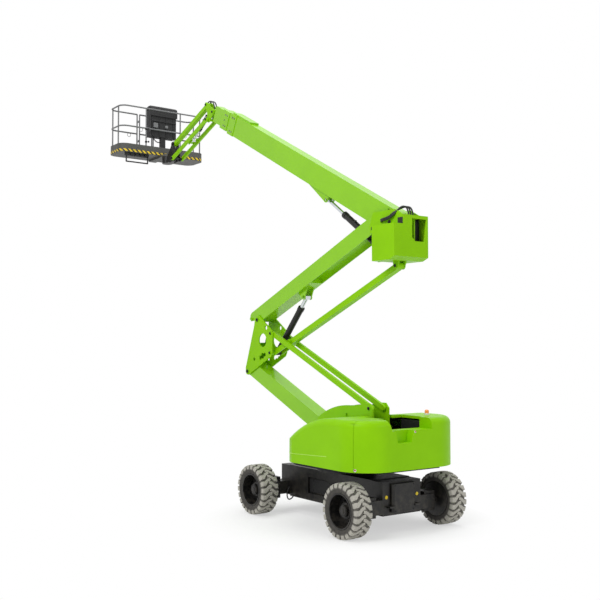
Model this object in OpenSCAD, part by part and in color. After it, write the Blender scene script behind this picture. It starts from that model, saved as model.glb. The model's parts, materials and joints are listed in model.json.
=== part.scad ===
// Articulated self-propelled boom lift, four-wheel drive, booms raised.
// X forward (towards the cage), Y to the machine's left, Z up, ground at Z = 0,
// X = 0 midway between the axles, on the slewing axis.

/* [Running gear] */
// Distance between the axles
wheelbase = 2690; // [2640:10:2760]
// Width over the tyres
overall_w = 2490; // [2440:10:2560]
// Tyre diameter over the lugs
tyre_d = 920; // [880:10:960]
// Tyre width
tyre_w = 345; // [320:5:360]
// Rim diameter under the tyre bead
rim_d = 590; // [540:10:620]

/* [Turret] */
// Half width of the covers
cover_half_w = 1165; // [1140:5:1190]
// Height of the covers' lower edge
cover_low = 1095; // [1080:5:1120]
// Height of the covers' top
cover_top = 1935; // [1880:5:1980]
// Front end of the covers
cover_front = 540; // [520:10:580]
// Seam between covers and counterweight
seam_x = -1530; // [-1560:10:-1500]
// Rear end of the counterweight
tail_x = -1835; // [-1860:5:-1800]
// Corner radius of the tail, seen from above
tail_r = 600; // [560:10:640]
// Corner radius of the covers' front, seen from above
front_r = 560; // [520:10:600]
// Radius of the covers' sloping nose
nose_r = 2040; // [1900:20:2200]
// Rounding of the covers' top edge
edge_r = 120; // [110:5:130]
// Thickness of the cover shells
shell_t = 20; // [14:2:26]

/* [Lower boom and riser] */
// Lower boom from pin to pin
lower_len = 3380; // [3340:10:3420]
// Lower boom angle as parked
lower_ang = 23.3; // [20:0.1:26]
// Riser from pin to pin
riser_len = 4020; // [3980:10:4060]
// Riser angle as parked, rising to the rear
riser_ang = 22.3; // [20:0.1:25]
// Width of the lower boom and the riser
arm_w = 315; // [305:5:320]
// Height of both boxes above their pins' line
arm_over = 245; // [225:5:255]
// Depth of both boxes below their pins' line
arm_under = 55; // [50:5:60]
// Wall of both boxes
arm_wall = 12; // [8:1:13]
// Length of the riser's closed box, below its open fork
closed_len = 1920; // [1870:10:2020]

/* [Main boom] */
// Boom angle as parked
boom_ang = 27.4; // [24:0.1:30]
// Outer section length ahead of its pivot
outer_len = 6100; // [6000:50:6200]
// Outer section height
boom_h = 435; // [420:5:440]
// Outer section width
boom_w = 260; // [250:5:265]
// Wall of the boom sections
boom_wall = 8; // [6:1:10]
// Sliding gap between sections
slide_gap = 10; // [6:1:14]
// Levelled head's pivot ahead of the outer section
nose_reach = 960; // [920:10:1020]

/* [Jib and cage] */
// Jib arms from pin to pin
jib_len = 1780; // [1740:10:1820]
// Jib angle as parked, below level
jib_drop = 20.6; // [17:0.1:24]
// Cage length across the machine
cage_l = 2360; // [2300:10:2420]
// Cage depth
cage_d = 760; // [720:10:790]
// Rail height over the cage floor
rail_h = 1150; // [1100:10:1200]
// Cage tube diameter
rail_d = 38; // [32:2:44]
// Corner radius of the cage
cage_r = 210; // [180:10:240]

/* [Fits] */
// Running gap round a hinge pin
pin_gap = 0.6; // [0.4:0.1:1]
// Side gap between neighbouring plates
side_gap = 8; // [6:1:9]
// Gap at the slewing ring and the boom's wear pads
bearing_gap = 0.5; // [0.3:0.1:0.8]

/* [Hidden] */
$fn = 48;
// Segments of the covers' large arcs
fine = 120;
GREEN = [0.55, 0.78, 0.03];
BLACK = [0.07, 0.07, 0.075];
GREY = [0.42, 0.42, 0.41];
STEEL = [0.75, 0.76, 0.78];
TREAD = [0.6, 0.58, 0.54];
AMBER = [0.95, 0.5, 0.05];

// Round ends and corners stand this far proud of the flats beside them
crown = 0.3;

// Running gear
axle_x = wheelbase / 2;
axle_z = tyre_d / 2;
wheel_y = overall_w / 2 - tyre_w / 2;
king_y = overall_w / 2 - tyre_w - 110;
king_r = 42;
spindle_r = 55;
hub_y = king_y + 190;
frame_half_w = 430;
frame_top = 880;
frame_low = 290;
axle_half = 140;
ring_top = 985;
platform_t = 40;
cover_hinge = [250, cover_top - 40];
hinge_xs = [-900, -640];
// Where the covers' top begins to fall to the nose
fall_x = -970;
platform_top = cover_low - 5;

// Side plates that carry the arms
plate_t = 25;
plate_in = arm_w / 2 + side_gap;
plate_out = plate_in + plate_t;
pin_r = 40;
tie_pin_r = 30;
tie_t = 52;
tie_h = 100;
tie_y = plate_in - 4 - tie_t;
link_h = 110;
link_half_w = 60;
link_fork_in = 66;
link_fork_out = 92;
eye_half_w = 55;

// Pins of the linkage in the X-Z plane
pivot_rise = 175;
L0 = [0, cover_low + pivot_rise];
E1 = L0 + lower_len * [cos(lower_ang), sin(lower_ang)];
tie_off = [-860, 790];
T0 = L0 + tie_off;
T1 = E1 + tie_off;
E2 = E1 + [-370, 1075];
K1 = E2 + riser_len * [-cos(riser_ang), sin(riser_ang)];
U1 = E1 + [-840, 395];
U2 = U1 + K1 - E2;
M1 = K1 + [-445, 62];
B0 = K1 + [-225, -500];
riser_pin = [1540, -183];
boom_pin = [2033, -322];
head_s = outer_len + nose_reach;
C1 = E2 + riser_pin[0] * [-cos(riser_ang), sin(riser_ang)]
    + riser_pin[1] * [sin(riser_ang), cos(riser_ang)];
B1 = on_boom(boom_pin);
H1 = on_boom([head_s, 0]);
J1 = H1 + [180, -148];
J2 = J1 + [122, 380];
jib_v = jib_len * [cos(jib_drop), -sin(jib_drop)];
J3 = J1 + jib_v;
J4 = J2 + jib_v;
jib_base = J1 + [30, 190];
eye_s = 900;
jib_eye = J1 + eye_s * [cos(jib_drop), -sin(jib_drop)];
jib_in = 105;
jib_t = 45;
jib_h = 90;

// Cage
rotor = J3 + [530, 0];
rotor_low = J3[1];
floor_z = J3[1] + 190;
cage_x0 = rotor[0] + 205;
cage_x1 = cage_x0 + cage_d;
toe_h = 200;
toe_t = 6;
floor_t = 14;
rail_in = 30;
gate_y0 = -60;
gate_y1 = 400;
hinge_y = gate_y1 - 38;
hinge_r = 7;
hinge_h = 50;
gate_hinges = [0.38 * rail_h, 0.82 * rail_h];

// Boom sections, from the outside in: height, width, tail, nose
mid_h = boom_h - 2 * (boom_wall + slide_gap);
mid_w = boom_w - 2 * (boom_wall + slide_gap);
inner_h = mid_h - 2 * (boom_wall + slide_gap);
inner_w = mid_w - 2 * (boom_wall + slide_gap);
mid_tail = 700;
mid_nose = outer_len + 400;
inner_tail = 1100;
inner_nose = head_s - 160;

function on_boom(p) = M1 + p[0] * [cos(boom_ang), sin(boom_ang)] + p[1] * [-sin(boom_ang), cos(boom_ang)];
function heading(p, q) = atan2(q[1] - p[1], q[0] - p[0]);

// Outline in the X-Z plane given thickness from y0 to y1
module slab(y0, y1) {
    translate([0, y1, 0]) rotate([90, 0, 0]) linear_extrude(y1 - y0) children();
}

// Children again on the other side of the centre plane
module both_sides() {
    children();
    mirror([0, 1, 0]) children();
}

// Round pin across the machine at p
module pin(p, r, y0, y1) {
    translate([p[0], y1, p[1]]) rotate([90, 0, 0]) cylinder(r = r, h = y1 - y0);
}

// Frame with its X axis along a line in the X-Z plane that starts at p
module along(p, ang) {
    translate([p[0], 0, p[1]]) rotate([0, -ang, 0]) children();
}

// Bar from p to q with round ends, height h, between y0 and y1; its flanks lie a little inside the ends
module bar(p, q, h, y0, y1) {
    slab(y0, y1) {
        translate(p) circle(d = h);
        translate(q) circle(d = h);
        translate(p) rotate(heading(p, q)) translate([0, -h / 2 + crown])
            square([norm(q - p), h - 2 * crown]);
    }
}

// Rectangle with rounded corners
module rounded(x0, y0, x1, y1, r) {
    translate([x0 + r, y0 + crown]) square([x1 - x0 - 2 * r, y1 - y0 - 2 * crown]);
    translate([x0 + crown, y0 + r]) square([x1 - x0 - 2 * crown, y1 - y0 - 2 * r]);
    for (x = [x0 + r, x1 - r], y = [y0 + r, y1 - r]) translate([x, y]) circle(r);
}

// Square tube along X, centred on it
module tube_x(x0, x1, w, h, wall) {
    difference() {
        translate([x0, -w / 2, -h / 2]) cube([x1 - x0, w, h]);
        translate([x0 - 1, -w / 2 + wall, -h / 2 + wall]) cube([x1 - x0 + 2, w - 2 * wall, h - 2 * wall]);
    }
}

// Chassis: two deep side members, deck, floor and cross plates
module chassis_frame() {
    color(BLACK) {
        both_sides() difference() {
            translate([-axle_x + axle_half, frame_half_w - 90, frame_low])
                cube([wheelbase - 2 * axle_half, 90, frame_top - frame_low]);
            translate([-620, frame_half_w - 35, frame_low + 130]) cube([1240, 60, 300]);
        }
        difference() {
            translate([-axle_x + axle_half, -frame_half_w + 90, frame_top - 40])
                cube([wheelbase - 2 * axle_half, 2 * frame_half_w - 180, 40]);
            translate([0, 0, frame_top - 60]) cylinder(r = 200, h = 100);
        }
        translate([-axle_x + axle_half, -frame_half_w + 90, frame_low])
            cube([wheelbase - 2 * axle_half, 2 * frame_half_w - 180, 25]);
    }
}

// Axle housing with lashing eyes on its outer face; x is the axle, s points away from the machine
module axle_housing(x, s, half_w) {
    lug_x = x + s * (axle_half + 45);
    lug_ys = [-285, 285];
    difference() {
        union() {
            translate([x - axle_half, -half_w, axle_z - 120]) cube([2 * axle_half, 2 * half_w, 240]);
            translate([x - axle_half, -frame_half_w, axle_z - 150])
                cube([2 * axle_half, 2 * frame_half_w, frame_top - axle_z + 140]);
            for (y = lug_ys) translate([lug_x - 50, y - 60, axle_z - 15]) cube([100, 120, 30]);
        }
        for (y = lug_ys) translate([lug_x, y, axle_z - 20]) cylinder(r = 26, h = 40);
    }
}

// Front axle with kingpin lugs above and below each steering knuckle
module front_axle() {
    color(BLACK) {
        axle_housing(axle_x, 1, king_y - 120);
        both_sides() for (z = [axle_z - 200, axle_z + 160]) difference() {
            union() {
                translate([axle_x, king_y, z]) cylinder(r = 75, h = 40);
                translate([axle_x - 75, king_y - 180, z]) cube([150, 180, 40]);
            }
            translate([axle_x, king_y, z - 1]) cylinder(r = king_r + pin_gap, h = 42);
        }
        both_sides() translate([axle_x - 75, king_y - 180, axle_z - 200]) cube([150, 60, 400]);
    }
}

// Rear axle, with hub ends and the plain cover plate between them
module rear_axle() {
    color(BLACK) {
        axle_housing(-axle_x, -1, king_y - 20);
        both_sides() {
            translate([-axle_x - 110, king_y - 240, axle_z - 170]) cube([220, 240, 340]);
            pin([-axle_x, axle_z], spindle_r, king_y - 10, hub_y);
        }
    }
}

module slew_ring() {
    color(BLACK) translate([0, 0, frame_top]) difference() {
        cylinder(r = 540, h = ring_top - frame_top);
        translate([0, 0, -1]) cylinder(r = 360, h = ring_top - frame_top + 2);
    }
}

// Steering knuckle on the left: kingpin, upright and wheel spindle
module steer_knuckle() {
    color(BLACK) {
        translate([axle_x, king_y, axle_z - 195]) cylinder(r = king_r, h = 390);
        translate([axle_x, king_y, axle_z - 150]) cylinder(r = 75, h = 300);
        translate([axle_x - 65, king_y, axle_z - 90]) cube([130, 70, 180]);
        pin([axle_x, axle_z], spindle_r, king_y, hub_y);
    }
}

// Wheel disc and barrel with its axis along Z, outer face towards +Z
module rim() {
    rim_r = rim_d / 2;
    half = tyre_w / 2 - 12;
    hub_back = hub_y - wheel_y - 70;
    color(BLACK) difference() {
        rotate_extrude($fn = 64) {
            translate([rim_r - 22, -half]) square([21.5, 2 * half]);
            translate([60, -70]) square([rim_r - 60, 24]);
            translate([0, -110]) square([130, 150]);
            translate([0, 30]) square([95, 60]);
        }
        translate([0, 0, -120]) cylinder(r = spindle_r + pin_gap, h = 125 + hub_back + 70 + 10);
    }
}

// Tyre with its axis along Z, over the tops of its lugs
module tyre() {
    shoulder = 45;
    color(TREAD) rotate_extrude($fn = 96) rounded(rim_d / 2, -tyre_w / 2, tyre_d / 2, tyre_w / 2, shoulder);
}

// Wheel position: end is 1 at the front, side is 1 on the left
module wheel_at(end, side) {
    translate([end * axle_x, side * wheel_y, axle_z]) rotate([-90 * side, 0, 0]) children();
}

// Turret platform, bearing ring and the two uprights that carry the arms
module turret_base() {
    foot_back = T0[0] - 100;
    foot_front = L0[0] + 640;
    arc_r = 1800;
    arc_top = L0 + [-330, 815];
    rear = [[foot_back, cover_low], [foot_back, T0[1]], T0 + [-20, 85], T0 + [160, 85], T0 + [254, 48],
            arc_top + [8, -1], [arc_top[0] + 8, cover_low]];
    front = [[arc_top[0], cover_low], arc_top + [0, 50], [foot_front, arc_top[1]], [foot_front, L0[1] + 290],
             [foot_front - 200, cover_low]];
    tail_half = 700;
    foot_w = 56;
    color(GREEN) {
        difference() {
            union() {
                translate([0, 0, ring_top + bearing_gap]) cylinder(r = 540, h = cover_low - ring_top - 44);
                translate([0, 0, platform_top - platform_t]) linear_extrude(platform_t)
                    rounded(seam_x + 10, -cover_half_w + 60, cover_front - 60, cover_half_w - 60, 480);
                translate([tail_x + 155, -tail_half, platform_top - platform_t])
                    cube([250, 2 * tail_half, platform_t]);
                translate([tail_x + 155, -tail_half, platform_top - platform_t])
                    cube([seam_x - tail_x - 157, 2 * tail_half, platform_t + cover_low - platform_top]);
            }
            translate([0, 0, ring_top]) cylinder(r = 300, h = 200);
        }
        both_sides() difference() {
            slab(plate_in, plate_out + 5) {
                polygon(rear);
                intersection() {
                    polygon(front);
                    translate(arc_top - [0, arc_r]) circle(arc_r, $fn = 192);
                }
            }
            pin(L0 + [-247, 627], 42, 0, plate_out + 20);
        }
        pin(L0, pin_r, -plate_out - 18, plate_out + 18);
        both_sides() pin(T0, tie_pin_r, tie_y - 3, plate_out + 18);
        both_sides() at_cover_hinges() {
            translate([-12, plate_out - cover_hinge[0], -25]) cube([24, cover_hinge[0] - plate_out, 50]);
            translate([0, 0, -25]) cylinder(r = 12, h = 50);
            translate([0, 0, -65]) cylinder(r = hinge_r, h = 130);
        }
        both_sides() translate([foot_back, plate_in, cover_low - 20]) cube([1500, foot_w, 25]);
    }
}

// Half section from the axis out to r and up to h, under a rounded edge
module edge_profile(r, h) {
    square([r - crown, h - edge_r]);
    square([r - edge_r, h - crown]);
    translate([r - edge_r, h - edge_r]) circle(edge_r);
}

// Outer form of covers and tail: rounded tail corners, then flat sides, then the falling nose;
// each lies a little inside the one before
module cover_form() {
    h = cover_top - cover_low;
    step = 2 * crown;
    flank = cover_half_w - tail_r;
    lap = 15;
    both_sides() translate([tail_x + tail_r, flank, cover_low]) rotate(90)
        rotate_extrude(angle = 90, $fn = fine) edge_profile(tail_r, h);
    slab(-flank - lap, flank + lap) translate([tail_x + tail_r, cover_low]) mirror([1, 0])
        edge_profile(tail_r - step, h - step);
    translate([tail_x + tail_r - lap, 0, cover_low]) rotate([90, 0, 90])
        linear_extrude(fall_x - tail_x - tail_r + lap) {
        edge_profile(cover_half_w - step, h - step);
        mirror([1, 0]) edge_profile(cover_half_w - step, h - step);
    }
    intersection() {
        w = cover_half_w - 2 * step;
        plan_w = w + lap;
        translate([0, 0, cover_low]) linear_extrude(h)
            rounded(fall_x - front_r - 40, -plan_w, cover_front, plan_w, front_r, $fn = fine);
        translate([fall_x, 0, cover_top - nose_r]) rotate([90, 0, 0]) rotate_extrude($fn = 3 * fine) {
            edge_profile(nose_r - 2 * step, w);
            mirror([0, 1]) edge_profile(nose_r - 2 * step, w);
        }
    }
}

// Room inside the covers
module cover_room() {
    w = cover_half_w - 2 * shell_t;
    roof = cover_top - 2.4 * shell_t;
    intersection() {
        translate([0, 0, cover_low - 10]) linear_extrude(roof - cover_low + 10)
            rounded(tail_x + 2 * shell_t, -w, cover_front - 2 * shell_t, w, front_r - 60, $fn = fine);
        slab(-w, w) {
            translate([tail_x, cover_low - 10]) square([fall_x - tail_x, roof - crown - cover_low + 10]);
            translate([fall_x, cover_top - nose_r]) circle(roof - cover_top + nose_r, $fn = 3 * fine);
        }
    }
}

// Hinge line of a cover along its inner top edge: children at each of its two pins
module at_cover_hinges() {
    for (x = hinge_xs) translate([x, cover_hinge[0], cover_hinge[1]]) rotate([0, 90, 0]) children();
}

// Left cover, a shell hinged along its inner top edge
module canopy() {
    slot_half = 440;
    gap = 6;
    color(GREEN) difference() {
        intersection() {
            difference() {
                cover_form();
                cover_room();
            }
            translate([seam_x + gap, 232, cover_low]) cube([cover_front - seam_x, 1200, 1000]);
        }
        translate([seam_x - 10, 0, cover_low - 10]) cube([-1000 - seam_x, slot_half, 1200]);
        translate([-2000, 0, cover_low - 300]) cube([4000, 1300, 300]);
        at_cover_hinges() {
            translate([-80, -60, -31]) cube([160, 82, 62]);
            translate([0, 0, -75]) cylinder(r = hinge_r + pin_gap, h = 150);
        }
    }
}

// Cast tail weight with the notch in which the knuckle lies when the arms are down
module counterweight() {
    floor = 1750;
    notch = [[-375, floor], [510, floor], [590, cover_top + 50], [-375, cover_top + 50]];
    chute = [[32, floor + 20], [87, floor - 200], [388, floor - 200], [440, floor + 20]];
    depth = 140;
    color(GREEN) difference() {
        intersection() {
            cover_form();
            translate([tail_x - 10, -cover_half_w - 10, cover_low])
                cube([seam_x - tail_x + 10, 2 * cover_half_w + 20, 1000]);
        }
        translate([tail_x - 50, 0, 0]) rotate([90, 0, 90]) {
            linear_extrude(seam_x - tail_x + 100) polygon(notch);
            linear_extrude(50 + depth) polygon(chute);
        }
    }
}

module engine_block() {
    color(BLACK) translate([-1350, -1000, platform_top]) cube([1100, 540, 560]);
}

module battery_pack() {
    color(BLACK) translate([-1350, 460, platform_top]) cube([1100, 540, 560]);
}

module beacon() {
    base_h = 32;
    color(AMBER) translate([-1330, -740, cover_top - crown]) {
        cylinder(r = 48, h = base_h);
        cylinder(r = 38, h = base_h + 62);
    }
}

// Hollow box of an arm along X from x0 to x1, above and below the pins' line
module arm_box(x0, x1) {
    difference() {
        translate([x0, -arm_w / 2, -arm_under]) cube([x1 - x0, arm_w, arm_over + arm_under]);
        translate([x0 + arm_wall, -arm_w / 2 + arm_wall, -arm_under + arm_wall])
            cube([x1 - x0 - 2 * arm_wall, arm_w - 2 * arm_wall, arm_over + arm_under - 2 * arm_wall]);
    }
}

module lower_boom() {
    end_x = lower_len - 90;
    color(GREEN) along(L0, lower_ang) difference() {
        union() {
            arm_box(70, end_x);
            for (y = [-arm_w / 2, arm_w / 2 - 2 * arm_wall]) translate([0, y, 0]) {
                slab(0, 2 * arm_wall) {
                    circle(r = arm_under);
                    translate([0, -arm_under]) square([90, 2 * arm_under]);
                    translate([lower_len, 0]) circle(r = arm_under);
                    translate([end_x - 10, -arm_under]) square([100, 2 * arm_under]);
                }
            }
        }
        pin([0, 0], pin_r + pin_gap, -arm_w, arm_w);
        pin([lower_len, 0], pin_r + pin_gap, -arm_w, arm_w);
    }
}

// Elbow: two cut-out side plates that stay upright, joined by a web and their pins
module elbow() {
    outline = [[78, -20], [82, 70], [-245, 955], [-275, 1105], [-400, 1172], [-905, 845], [-930, 780],
               [-915, 405], [-870, 323], [-25, -75], [45, -65]];
    color(GREEN) translate([E1[0], 0, E1[1]]) {
        both_sides() slab(plate_in, plate_out) difference() {
            polygon(outline);
            translate([-565, 650]) circle(140);
            translate([-690, 905]) circle(45);
            translate([-250, 255]) circle(38);
            translate([-560, 330]) circle(62);
            translate([-480, 290]) circle(48);
            translate([-640, 355]) circle(42);
        }
        along([20, 130], 110.3) translate([0, -plate_in - 2, -6]) cube([500, 2 * plate_in + 4, 12]);
        pin([0, 0], pin_r, -plate_out - 14, plate_out + 14);
        pin(E2 - E1, pin_r, -plate_out - 14, plate_out + 14);
        pin(U1 - E1, tie_pin_r, -plate_out - 14, plate_out + 14);
        both_sides() {
            pin(tie_off, tie_pin_r, tie_y - 3, plate_out + 14);
            pin(U1 - E1, 48, link_fork_out + 4, plate_in);
        }
    }
}

// Pair of tie bars that keep the elbow upright
module lower_ties() {
    color(GREEN) both_sides() difference() {
        bar(T0, T1, tie_h, tie_y, tie_y + tie_t);
        pin(T0, tie_pin_r + pin_gap, 0, plate_out);
        pin(T1, tie_pin_r + pin_gap, 0, plate_out);
    }
}

// Riser: closed box, then an open fork in which the main boom and its cylinder lie when lowered
module riser() {
    fork_len = riser_len - closed_len;
    fork_t = arm_wall;
    color(GREEN) translate([E2[0], 0, E2[1]]) rotate([0, riser_ang + 180, 0]) mirror([0, 0, 1]) difference() {
        union() {
            arm_box(90, closed_len);
            for (y = [-arm_w / 2, arm_w / 2 - fork_t]) translate([0, y, 0]) slab(0, fork_t) {
                translate([closed_len - 10, -arm_under]) square([fork_len - 20, arm_over + arm_under]);
                polygon([[riser_len - 40, -arm_under], [riser_len + 40, -arm_under], [riser_len + 70, 0],
                         [riser_len + 40, arm_over], [riser_len - 40, arm_over]]);
            }
            for (y = [-arm_w / 2, arm_w / 2 - 2 * arm_wall]) translate([0, y, 0]) slab(0, 2 * arm_wall)
                polygon([[100, -arm_under], [-30, -arm_under], [-60, 20], [-285, 90], [-290, 165],
                         [-255, arm_over - 30], [-200, arm_over], [100, arm_over]]);
            both_sides() slab(eye_half_w + 12, eye_half_w + 34) {
                translate(riser_pin) circle(50);
                polygon([riser_pin + [-50, 0], riser_pin + [50, 0], [riser_pin[0] + 190, -arm_under + 1],
                         [riser_pin[0] - 130, -arm_under + 1]]);
            }
            pin([-228, 120], 26, -plate_out - 8, plate_out + 8);
        }
        pin([0, 0], pin_r + pin_gap, -arm_w, arm_w);
        pin([riser_len, 0], pin_r + pin_gap, -arm_w, arm_w);
        pin(riser_pin, 34, -120, 120);
    }
}

// Cylinder barrel along X: base eye, barrel and gland, with the rod's bore
module barrel(length, r, rod_r, eye_r, hole_r, half_w) {
    difference() {
        union() {
            pin([0, 0], eye_r, -half_w, half_w);
            translate([0, 0, 0]) rotate([0, 90, 0]) cylinder(r = half_w * 0.8, h = 90);
            translate([60, 0, 0]) rotate([0, 90, 0]) cylinder(r = r, h = length - 60);
            translate([length - 70, 0, 0]) rotate([0, 90, 0]) cylinder(r = r + 7, h = 70);
        }
        pin([0, 0], hole_r, -half_w - 1, half_w + 1);
        translate([90, 0, 0]) rotate([0, 90, 0]) cylinder(r = rod_r + 1, h = length);
    }
}

// Cylinder rod along X whose eye is at x = reach
module rod(start, reach, r, eye_r, half_w) {
    translate([start, 0, 0]) rotate([0, 90, 0]) cylinder(r = r, h = reach - start);
    pin([reach, 0], eye_r, -half_w, half_w);
}

riser_cyl_len = norm(C1 - U1);
boom_cyl_len = norm(B1 - B0);
jib_cyl_len = norm(jib_eye - jib_base);

module riser_barrel() {
    color(BLACK) along(U1, heading(U1, C1)) barrel(1230, 62, 38, 50, tie_pin_r + pin_gap, eye_half_w);
}

module riser_rod() {
    color(STEEL) along(U1, heading(U1, C1)) rod(330, riser_cyl_len, 38, 48, eye_half_w);
}

module upper_tie() {
    fork = 560;
    color(GREEN) difference() {
        union() {
            bar(U1 + (fork - 60) / riser_len * (U2 - U1), U2, link_h, -link_half_w, link_half_w);
            both_sides() bar(U1, U1 + fork / riser_len * (U2 - U1), link_h, link_fork_in, link_fork_out);
            along(U1, heading(U1, U2)) translate([fork - 40, -link_fork_out, -link_h / 2])
                cube([80, 2 * link_fork_out, link_h]);
        }
        pin(U1, tie_pin_r + pin_gap, -200, 200);
        pin(U2, tie_pin_r + pin_gap, -200, 200);
    }
}

// Knuckle: inner plates with the pins, and a wide box behind them that is open to the front
module knuckle() {
    side_t = 15;
    box_w = 390;
    front = -215;
    back = -775;
    low = -600;
    high = 170;
    inner = [[-120, low], [-120, -110], [85, -70], [95, 40], [10, 283], [-560, 283], [back, high],
             [back, -545], [-640, low]];
    box_left = [[front, low], [front, 10], [back, 10], [back, -545], [-640, low]];
    box_right = [[front, low], [front, high], [back, high], [back, -545], [-640, low]];
    module window() {
        rotate([90, 0, 90]) linear_extrude(120)
            polygon([[-20, 115], [-345, 110], [-285, -275], [-90, -275], [-20, -215]]);
    }
    color(GREEN) translate([K1[0], 0, K1[1]]) {
        both_sides() difference() {
            slab(plate_in, plate_out) polygon(inner);
            pin([-230, 110], 38, 0, 400);
            translate([back - 5, 0, 0]) mirror([0, 1, 0]) window();
        }
        slab(box_w - side_t, box_w) polygon(box_left);
        slab(-box_w, -box_w + side_t) polygon(box_right);
        translate([front, plate_out, low]) cube([side_t, box_w - plate_out, 10 - low]);
        translate([front, -box_w, low]) cube([side_t, box_w - plate_out, high - low]);
        translate([back, plate_out, 10 - side_t]) cube([front - back, box_w - plate_out, side_t]);
        translate([back, -box_w, high - side_t]) cube([front - back, box_w - plate_out, side_t]);
        translate([-640, -box_w, low]) cube([front + 640, 2 * box_w, side_t]);
        slab(-box_w, box_w) polygon([[-640, low], [back, -545], [back, -530], [-640, low + side_t]]);
        difference() {
            translate([back, -box_w, -545]) cube([side_t, 2 * box_w, high + 545]);
            translate([back - 5, 0, 0]) window();
            translate([back - 5, plate_out, 10]) cube([40, 300, 300]);
        }
        both_sides() {
            pin([0, 0], pin_r, boom_w / 2 + 5, plate_out + 14);
            difference() {
                slab(link_half_w + 6, link_half_w + 30) polygon([U2 - K1 + [-60, 0], U2 - K1 + [60, 0],
                    [-400, low + 5], [-560, low + 5]]);
                pin(U2 - K1, tie_pin_r - 1, 0, 200);
            }
        }
        both_sides() slab(link_half_w + 6, link_half_w + 30) translate(U2 - K1) difference() {
            circle(60);
            circle(tie_pin_r - 1);
        }
        pin(U2 - K1, tie_pin_r, -link_half_w - 44, link_half_w + 44);
        pin(M1 - K1, pin_r, -plate_out - 14, plate_out + 14);
        pin(B0 - K1, tie_pin_r, -plate_out - 14, plate_out + 14);
    }
}

module boom_barrel() {
    color(BLACK) along(B0, heading(B0, B1)) barrel(1540, 60, 36, 48, tie_pin_r + pin_gap, eye_half_w);
}

module boom_rod() {
    color(STEEL) along(B0, heading(B0, B1)) rod(700, boom_cyl_len, 36, 42, eye_half_w);
}

// Ring of wear pads inside a boom section of width w and height h, on which the next one slides
module wear_pads(w, h) {
    bed = 0.5;
    tube_x(0, 180, w - 2 * boom_wall + 2 * bed, h - 2 * boom_wall + 2 * bed, slide_gap + bed - bearing_gap);
}

module boom_outer() {
    collar = 250;
    color(GREEN) along(M1, boom_ang) difference() {
        union() {
            tube_x(220, outer_len, boom_w, boom_h, boom_wall);
            slab(-boom_w / 2, boom_w / 2) difference() {
                union() {
                    circle(boom_h / 2);
                    translate([0, -boom_h / 2]) square([230, boom_h]);
                }
                translate([120, -boom_h / 2 + 40]) square([200, boom_h - 80]);
            }
            translate([outer_len - collar, 0, 0]) tube_x(0, collar, boom_w + 24, boom_h + 24, boom_wall + 12);
            translate([outer_len - 220, 0, 0]) wear_pads(boom_w, boom_h);
            translate([outer_len - 800, -boom_w / 2 + 20, boom_h / 2 - 1]) cube([780, boom_w - 40, 40]);
            both_sides() slab(eye_half_w + 12, eye_half_w + 34) {
                translate(boom_pin) circle(50);
                polygon([boom_pin + [-50, 0], boom_pin + [30, -40], [boom_pin[0] + 720, -boom_h / 2 + 1],
                         [boom_pin[0] - 60, -boom_h / 2 + 1]]);
            }
        }
        pin([0, 0], pin_r + pin_gap, -boom_w, boom_w);
        pin(boom_pin, 34, -120, 120);
    }
}

module boom_mid() {
    color(GREEN) along(M1, boom_ang) {
        tube_x(mid_tail, mid_nose, mid_w, mid_h, boom_wall);
        translate([mid_nose - 220, 0, 0]) wear_pads(mid_w, mid_h);
        translate([mid_nose - 300, 0, 0]) tube_x(0, 300, mid_w + 24, mid_h + 24, boom_wall + 12);
    }
}

module boom_inner() {
    lug_half = 48;
    color(GREEN) along(M1, boom_ang) difference() {
        union() {
            tube_x(inner_tail, inner_nose, inner_w, inner_h, boom_wall);
            translate([inner_nose - 30, -inner_w / 2 + 2, -inner_h / 2 + 2])
                cube([28, inner_w - 4, inner_h - 4]);
            slab(-lug_half, lug_half) {
                translate([head_s, 0]) circle(70);
                translate([inner_nose - 10, -70]) square([head_s - inner_nose + 10, 140]);
            }
        }
        pin([head_s, 0], tie_pin_r + pin_gap, -100, 100);
    }
}

// Levelled head that carries the jib
module boom_head() {
    inner = 56;
    outer = 80;
    color(GREEN) translate([H1[0], 0, H1[1]]) {
        both_sides() slab(inner, outer) {
            circle(66);
            translate(J1 - H1) circle(60);
            translate(J2 - H1) circle(58);
            polygon([[-50, 42], [-40, -52], J1 - H1 + [-40, -46], J1 - H1 + [56, -20], J1 - H1 + [60, 190],
                     J2 - H1 + [54, -20], J2 - H1 + [-40, 42]]);
        }
        pin([0, 0], tie_pin_r, -outer - 10, outer + 10);
        pin(J1 - H1, tie_pin_r, -jib_in - jib_t - 10, jib_in + jib_t + 10);
        pin(J2 - H1, tie_pin_r, -outer - 10, outer + 10);
        pin(jib_base - H1, 20, -outer, outer);
    }
}

module jib_lower_arms() {
    lug = 55;
    color(GREEN) difference() {
        union() {
            both_sides() {
                bar(J1, J3, jib_h, jib_in, jib_in + jib_t);
                along(J1, -jib_drop) slab(lug, lug + 18) translate([eye_s - 45, -jib_h / 2])
                    square([180, jib_h]);
            }
            along(J1, -jib_drop) pin([eye_s + 115, 0], 20, -jib_in - 2, jib_in + 2);
        }
        pin(J1, tie_pin_r + pin_gap, -200, 200);
        pin(J3, tie_pin_r + pin_gap, -200, 200);
    }
}

module jib_upper_arm() {
    color(GREEN) difference() {
        bar(J2, J4, 100, -46, 46);
        pin(J2, tie_pin_r + pin_gap, -200, 200);
        pin(J4, tie_pin_r + pin_gap, -200, 200);
    }
}

module jib_barrel() {
    color(BLACK) along(jib_base, heading(jib_base, jib_eye)) barrel(610, 36, 20, 34, 20 + pin_gap, 40);
}

module jib_rod() {
    color(STEEL) along(jib_base, heading(jib_base, jib_eye)) rod(275, jib_cyl_len, 20, 34, 40);
}

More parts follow.
